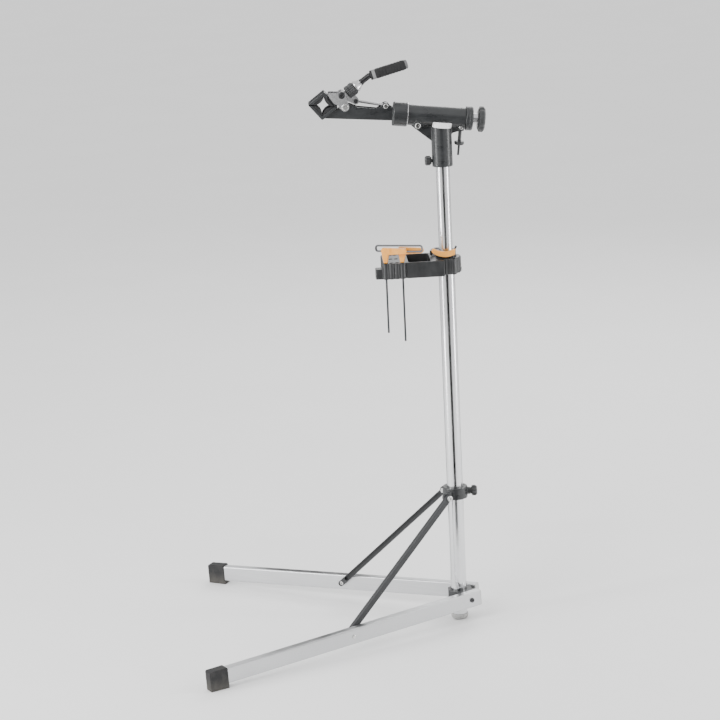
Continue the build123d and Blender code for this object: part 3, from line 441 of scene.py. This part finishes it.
def make_foot():
    body = [(0, 0), (15.4, 0), (17.2, 0.9), (19.9, 3.8), (20.8, 7.6), (20.8, 9.6), (20.3, 10.2), (20.3, 10.9),
            (20.8, 11.5), (20.7, 13.3), (20.1, 14.0), (19.1, 14.0), (19.1, 6.0), (0, 6.0)]
    dressed(turned("foot_cap_rounded", ORIGIN, UP, rounded(body, 0.8, 4), 96, angle=50), "foot_cap")


# ---------------------------------------------------------------- knobs


def lobes(count, deep, sharp=1.0):
    """A shape with rounded finger hollows round a knob, fading towards its hub."""

    def shape(theta, radius, _height):
        wave = (0.5 + 0.5 * cos(count * theta)) ** sharp
        return radius - deep * (1 - wave) * min(1.0, radius / 9.0) ** 3

    return shape


SCREW_R = 4.0
HEAD_KNOB_SEAT = 25.5  # from the post's axis, as the next one
SPREADER_KNOB_SEAT = 37.5
REAR_KNOB_SEAT = -86.5  # ahead of the post


def knob(name, node, outline, shape, screw_length):
    """A lobed hand knob at its own joint. Its outline starts at the seat, and its screw reaches back."""
    axis = joint_axis(f"{node}_turn")
    seat = joint_point(f"{node}_turn")
    screw = [(0, 0), (SCREW_R, 0.4), (SCREW_R, screw_length), (0, screw_length)]
    bm = bmesh.new()
    add_turned(bm, seat, axis, rounded(outline, 1.6), 144, shape)
    add_turned(bm, seat - axis * screw_length * MM, axis, screw, 40)
    dressed(finished(bm, name, 50), node)


def make_knobs():
    small = [(0, 0), (8.0, 0), (8.4, 2.0), (11.5, 3.4), (11.5, 12.5), (8.6, 15.6), (3.0, 16.0), (0, 16.0)]
    knob("knob_head", "head_knob", small, lobes(8, 1.3), HEAD_KNOB_SEAT - UPPER_R - TIP_GAP)
    wide = [(0, 0), (9.0, 0), (9.4, 2.4), (14.0, 4.0), (14.0, 12.0), (10.5, 15.6), (4.0, 16.0), (0, 16.0)]
    knob("knob_spreader", "spreader_knob", wide, lobes(6, 2.6), SPREADER_KNOB_SEAT - LOWER_R - TIP_GAP)

    rear = [(8.1, 0), (22.0, 0), (24.0, 1.0), (30.0, 3.6), (30.0, 12.4), (25.0, 16.2), (17.0, 17.0),
            (15.5, 15.8), (6.0, 15.8), (0, 15.8)]
    bore = [(0, 13.0), (8.1, 13.0), (8.1, 0)]
    seat = HEAD + AHEAD * REAR_KNOB_SEAT * MM
    made = turned("knob_rear", seat, -AHEAD, rounded(rear, 1.5) + bore, 192, lobes(12, 1.8, 0.8), 50)
    dressed(made, "rear_knob")


# ---------------------------------------------------------------- clamp lever and adjusting barrel

STEM_START = clamp_point(222.0, 30.0)
BEND = clamp_point(174.5, 74.0)
GRIP_END = clamp_point(86.5, 108.5)
STEM = (BEND - STEM_START).normalized()
GRIP = (GRIP_END - BEND).normalized()
STEM_LENGTH = (BEND - STEM_START).length / MM
GRIP_LENGTH = (GRIP_END - BEND).length / MM
BARREL = 24.0
BARREL_RIBS = 18
FLARE_FOOT = BARREL + 0.6  # the flare stands just over the barrel
NECK_ROD = 6.8
GRIP_CORE = 6.0
GRIP_LOW = 3.4
GRIP_HIGH = GRIP_LENGTH - 6.6
GRIP_R = 11.8
RING_EVERY = 7.0
CAP_LOW = GRIP_LENGTH - 6.4


def barrel_shape(theta, radius, _height):
    """Fine ribs round the barrel, but not on its end faces."""
    if radius < 13.0:
        return radius
    return radius - 1.6 * (1 - abs(cos(BARREL_RIBS * theta / 2)) ** 0.7)


def grip_shape(theta, radius, height):
    """A slightly oval grip with lengthwise grooves along its held part."""
    swell = 0.25 * cos(2 * theta)
    along = (height - GRIP_LOW) / (GRIP_HIGH - GRIP_LOW)
    if 0.24 < along < 0.93 and radius > 9:
        return radius + swell - 0.5 * (1 - abs(cos(12 * theta)) ** 0.5)
    return radius + swell * 0.3


def make_barrel():
    outline = [(7.1, 0.3), (12.4, 0.3), (13.4, 1.2), (15.6, 2.4), (15.6, 9.6), (14.7, 10.4), (14.7, 12.6),
               (15.6, 13.4), (15.6, 21.4), (13.4, 23.0), (12.4, BARREL), (7.1, BARREL), (7.1, 0.3)]
    made = turned("adjuster_barrel", STEM_START, STEM, rounded(outline, 0.5, 3), 216, barrel_shape, 40)
    dressed(made, "adjuster")


def make_neck():
    """A bright flare over the barrel, and the black rod that bends into the grip's core."""
    flare = [(0, 0), (13.2, 0), (14.0, 0.8), (14.0, 3.0), (12.6, 5.2), (10.2, 9.4), (8.6, 13.2), (8.4, 15.6),
             (0, 15.6)]
    flare_at = STEM_START + STEM * FLARE_FOOT * MM
    made = turned("lever_flare", flare_at, STEM, rounded(flare, 1.4, 4), 96)
    dressed(made, "handle_neck", MATERIALS["steel_bright"], False)

    stem_end = STEM_LENGTH - FLARE_FOOT
    rod = [(0, 15.0), (7.6, 15.0), (7.9, 16.4), (7.3, 19.5), (NECK_ROD, 23.0)]
    rod += [(NECK_ROD * sqrt(1 - t * t), stem_end + NECK_ROD * t) for t in (0.0, 0.3, 0.55, 0.75, 0.9, 1.0)]
    core_end = GRIP_LENGTH - 5.0
    core = [(0, -4.0), (4.0, -3.4), (NECK_ROD, 0.0), (NECK_ROD, 2.2), (GRIP_CORE, 3.4), (GRIP_CORE, core_end),
            (0, core_end)]
    neck = bmesh.new()
    add_turned(neck, flare_at, STEM, rod, 96)
    add_turned(neck, BEND, GRIP, core, 96)
    dressed(finished(neck, "lever_neck", 50), "handle_neck")


def make_grip():
    """The rubber grip with its rings, a paler band at its foot, and the cap at its end."""
    foot = [(6.05, 0), (9.8, 0), (11.2, 1.2), (11.2, 4.4), (10.4, 5.2), (10.4, 13.0), (11.4, 13.8),
            (GRIP_R, 17.0)]
    outline = [(radius, GRIP_LOW + height) for radius, height in foot]
    height = GRIP_LOW + 18.0
    while height < GRIP_HIGH - 9.0:
        outline += [(GRIP_R, height), (GRIP_R, height + 4.6), (11.0, height + 5.2), (11.0, height + 6.2)]
        height += RING_EVERY
    outline += [(11.5, GRIP_HIGH - 5.5), (11.0, GRIP_HIGH - 1.0), (10.2, GRIP_HIGH), (6.05, GRIP_HIGH)]
    dressed(turned("lever_grip", BEND, GRIP, outline, 168, grip_shape, 40), "handle_grip")

    band_low, band_high = GRIP_LOW + 5.4, GRIP_LOW + 12.8
    band = rounded([(10.3, band_low), (11.3, band_low), (11.3, band_high), (10.3, band_high)], 0.4, 3)
    made = turned("lever_band", BEND, GRIP, band + [band[0]], 120)
    dressed(made, "handle_grip", BAND_RUBBER, False)

    cap = [(0, 0), (9.8, 0), (10.6, 0.9), (10.6, 3.4), (9.0, 5.4), (5.0, 6.3), (0, 6.4)]
    cap = [(radius, CAP_LOW + height) for radius, height in cap]
    dressed(turned("lever_cap", BEND, GRIP, rounded(cap, 1.0, 4), 96, angle=50), "grip_cap")


# ---------------------------------------------------------------- jaw pads

JAW_MIDDLE = 276.0  # the middle of the jaws' opening, ahead of the post
PAD_HALF = 22.0
PAD_SLICES = 80
GROOVE_EVERY = 4.4
GROOVE_DEEP = 0.8
PAD_FACE = (Vector((18.0, -1.0)), Vector((0.5, -18.8)))  # the gripping face's ends, from the opening's middle
PAD_BACK = [(0.5, -22.6), (2.2, -21.8), (24.7, -1.1)]
PAD_BULGE = 3.3
PAD_STEPS = 16


def pad_ring(back):
    """The pad's outline, with its bulging face set back by this much."""
    start, end = PAD_FACE
    outward = Vector((-1.0, 1.0)) / sqrt(2)
    ring = []
    for k in range(PAD_STEPS + 1):
        t = k / PAD_STEPS
        bulge = (1 - (2 * t - 1) ** 2) * (PAD_BULGE - back)
        ring.append(start + (end - start) * t + outward * bulge)
    return ring + PAD_BACK


def add_pad(bm, side, flip):
    """One rubber block, with shallow grooves at even steps across its width and eased ends."""
    rings = []
    for k in range(PAD_SLICES + 1):
        across = -PAD_HALF + PAD_HALF * 2 * k / PAD_SLICES
        phase = (across + PAD_HALF) % GROOVE_EVERY / GROOVE_EVERY
        groove = GROOVE_DEEP * max(0.0, 1 - (abs(phase - 0.5) / 0.2) ** 2)
        end_ease = 0.9 * max(0.0, abs(across) - PAD_HALF + 1.0)
        ring = pad_ring(max(groove, end_ease))
        rings.append([bm.verts.new(clamp_point(JAW_MIDDLE + side * a, flip * b, across)) for a, b in ring])
    count = len(rings[0])
    for lower, upper in zip(rings, rings[1:]):
        for k in range(count):
            bm.faces.new([lower[k], lower[(k + 1) % count], upper[(k + 1) % count], upper[k]])
    bm.faces.new(rings[0])
    bm.faces.new(rings[-1])


def make_jaw_pads():
    for node, name, flip in (("lower_jaw_pads", "pads_lower", 1.0), ("upper_jaw_pads", "pads_upper", -1.0)):
        bm = bmesh.new()
        add_pad(bm, 1.0, flip)
        add_pad(bm, -1.0, flip)
        dressed(finished(bm, name, 40), node)


# ---------------------------------------------------------------- castings, mouldings and pressed parts

CAST_PIECES = (  # name, node, voxel in mm, rounds of smoothing, share of the faces kept
    ("boot_far", "leg_foot_far", 0.5, 8, 0.3),
    ("boot_near", "leg_foot_near", 0.5, 8, 0.3),
    ("housing_cast", "head_housing", 0.85, 7, 0.4),
    ("bracket_cast", "base_bracket", 0.8, 5, 0.5),
    ("collar_cast", "spreader_collar", 0.8, 5, 0.5),
    ("height_clamp_cast", "height_clamp", 0.7, 4, 0.5),
    ("height_lever_cast", "height_lever", 0.45, 5, 0.6),
    ("arm_cast", "clamp_arm", 0.7, 4, 0.4),
    ("jaw_lower_cast", "lower_jaw", 0.5, 3, 0.5),
    ("jaw_upper_cast", "upper_jaw", 0.5, 3, 0.5),
    ("yoke_machined", "handle_yoke", 0.4, 4, 0.6),
    ("tray_moulded", "tray", 0.85, 4, 0.4),
    ("tool_handle_1", "wrench_handle_1", 0.45, 12, 0.5),
    ("tool_handle_2", "wrench_handle_2", 0.45, 12, 0.5),
    ("tool_handle_3", "wrench_handle_3", 0.45, 12, 0.5),
)
PRESSINGS = {"jaw_plates": 0.5, "strut_near": 0.4, "strut_far": 0.4, "toggle_link": 0.3}  # edge bevels in mm
BOLT_BEVEL = 0.25


def make_castings():
    for name, node, voxel, rounds, keep in CAST_PIECES:
        softened(name, node, voxel, rounds, keep)


def ease_pressings():
    for node, width in PRESSINGS.items():
        eased(node, width)
    for node, slot in SLOT_OF.items():
        if slot in ("bolt_steel", "bolt_black"):
            eased(node, BOLT_BEVEL)


# ---------------------------------------------------------------- head rings and washers

RING_BACK = -74.4  # ahead of the post, as the next two
RING_FRONT = -58.1
WASHER_BACK = 77.4
WASHER_THICK = 2.0


def make_rings():
    ring = [(15.1, RING_BACK), (25.6, RING_BACK), (28.0, -71.8), (28.0, -67.8), (27.2, -67.0), (27.2, -65.8),
            (28.0, -65.0), (28.0, -59.2), (27.0, RING_FRONT), (15.1, RING_FRONT), (15.1, RING_BACK)]
    dressed(turned("rear_ring_turned", HEAD, AHEAD, rounded(ring, 0.6, 4), 128), "rear_ring")
    washer_front = WASHER_BACK + WASHER_THICK
    washer = [(15.0, WASHER_BACK), (27.5, WASHER_BACK), (27.5, washer_front), (15.0, washer_front),
              (15.0, WASHER_BACK)]
    dressed(turned("washer_turned", HEAD, AHEAD, rounded(washer, 0.4, 3), 128), "thrust_washer")


# ---------------------------------------------------------------- studio and camera

FLOOR_REACH = 40.0
FLOOR_DROP = 0.0004  # keeps the floor clear of the feet's flat faces
WORLD_STRENGTH = 1.45
LIGHT_AIM = Vector((0, 0, 0.9))
LIGHTS = (  # name, place, size in metres, watts
    ("key", (-2.6, -2.6, 3.4), (2.0, 2.0), 100),
    ("strip_left", (-3.0, -0.9, 1.3), (0.45, 2.6), 62),
    ("strip_right", (3.0, -0.7, 1.3), (0.45, 2.6), 57),
    ("rim", (1.2, 3.2, 2.8), (2.4, 1.2), 60),
)
FLAG_FRONT = ((-0.14, -0.5, 0.0), (0.20, -0.5, 0.0), (0.10, -0.6, 1.6), (-0.22, -0.6, 1.6))
FLAG_BACK_Y = 0.7
FLAG_BACK_X = (0.2, 0.5)
FLAG_BACK_TOP = 1.7


def card(name, material, corners):
    """A flat four-cornered piece of the studio."""
    mesh = bpy.data.meshes.new(name)
    mesh.from_pydata(corners, [], [(0, 1, 2, 3)])
    mesh.materials.append(material)
    made = bpy.data.objects.new(name, mesh)
    bpy.context.scene.collection.objects.link(made)
    return made


def area_light(name, place, size, watts):
    lamp = bpy.data.lights.new(name, "AREA")
    lamp.shape = "RECTANGLE"
    lamp.size, lamp.size_y = size
    lamp.energy = watts
    made = bpy.data.objects.new(name, lamp)
    made.location = place
    made.rotation_euler = (LIGHT_AIM - Vector(place)).to_track_quat("-Z", "Y").to_euler()
    bpy.context.scene.collection.objects.link(made)


def black_flag(name, material, corners):
    """A black card that only shows in reflections: it draws the dark lines on the bright tubes."""
    flag = card(name, material, corners)
    flag.visible_camera = False
    flag.visible_diffuse = False
    flag.visible_shadow = False


def make_floor():
    finish = Finish("floor_pale", (0.88, 0.88, 0.88), 0.6, specular=0.2)
    haze = finish.noise(0.5, detail=3.0)
    finish.mix(finish.spread(haze, 0.0, 1.0), (0.87, 0.87, 0.87), (0.89, 0.89, 0.89))
    ends = [(-FLOOR_REACH, -FLOOR_REACH, 0), (FLOOR_REACH, -FLOOR_REACH, 0),
            (FLOOR_REACH, FLOOR_REACH, 0), (-FLOOR_REACH, FLOOR_REACH, 0)]
    card("floor", finish.material, ends).location.z = -FLOOR_DROP


def make_world():
    """An even bright sky, darker straight behind the camera."""
    world = bpy.data.worlds.new("studio")
    bpy.context.scene.world = world
    world.use_nodes = True
    tree = world.node_tree
    background = tree.nodes["Background"]
    place = tree.nodes.new("ShaderNodeTexCoord")
    split = tree.nodes.new("ShaderNodeSeparateXYZ")
    tree.links.new(place.outputs["Generated"], split.inputs["Vector"])
    ramp = tree.nodes.new("ShaderNodeMapRange")
    ramp.interpolation_type = "SMOOTHSTEP"
    set_range(ramp, -0.97, -0.80, 0.10, 0.92)
    tree.links.new(split.outputs["Y"], ramp.inputs["Value"])
    tree.links.new(ramp.outputs["Result"], background.inputs["Color"])
    background.inputs["Strength"].default_value = WORLD_STRENGTH


def make_flags():
    dark = Finish("flag_black", (0.01, 0.01, 0.01), 0.9, specular=0.0).material
    black_flag("flag_front", dark, FLAG_FRONT)
    for side in (-1.0, 1.0):
        near, far = (side * x for x in FLAG_BACK_X)
        corners = [(near, FLAG_BACK_Y, 0.0), (far, FLAG_BACK_Y, 0.0),
                   (far, FLAG_BACK_Y, FLAG_BACK_TOP), (near, FLAG_BACK_Y, FLAG_BACK_TOP)]
        black_flag(f"flag_back_{side:.0f}", dark, corners)


CAMERA_DISTANCE = 5.65
CAMERA_HEIGHT = 2.10
CAMERA_SIDE = radians(-4.47)  # from straight in front, towards the clamp
CAMERA_ROLL = radians(-2.74)
CAMERA_AIM = Vector((-0.215, 0.0, 0.665))
CAMERA_LENS = 122.0


def make_camera():
    lens = bpy.data.cameras.new("camera")
    lens.lens = CAMERA_LENS
    lens.sensor_width = 36.0
    lens.clip_end = 200.0
    eye = Vector((CAMERA_DISTANCE * sin(CAMERA_SIDE), -CAMERA_DISTANCE * cos(CAMERA_SIDE), CAMERA_HEIGHT))
    ahead = (CAMERA_AIM - eye).normalized()
    level = ahead.cross(UP).normalized()
    top = level.cross(ahead)
    right = level * cos(CAMERA_ROLL) + top * sin(CAMERA_ROLL)
    head = top * cos(CAMERA_ROLL) - level * sin(CAMERA_ROLL)
    made = bpy.data.objects.new("camera", lens)
    made.matrix_world = Matrix((
        (right.x, head.x, -ahead.x, eye.x),
        (right.y, head.y, -ahead.y, eye.y),
        (right.z, head.z, -ahead.z, eye.z),
        (0, 0, 0, 1),
    ))
    bpy.context.scene.collection.objects.link(made)
    bpy.context.scene.camera = made


make_post()
make_foot()
make_knobs()
make_barrel()
make_neck()
make_grip()
make_jaw_pads()
make_castings()
make_rings()
ease_pressings()
make_floor()
make_world()
for light in LIGHTS:
    area_light(*light)
make_flags()
make_camera()
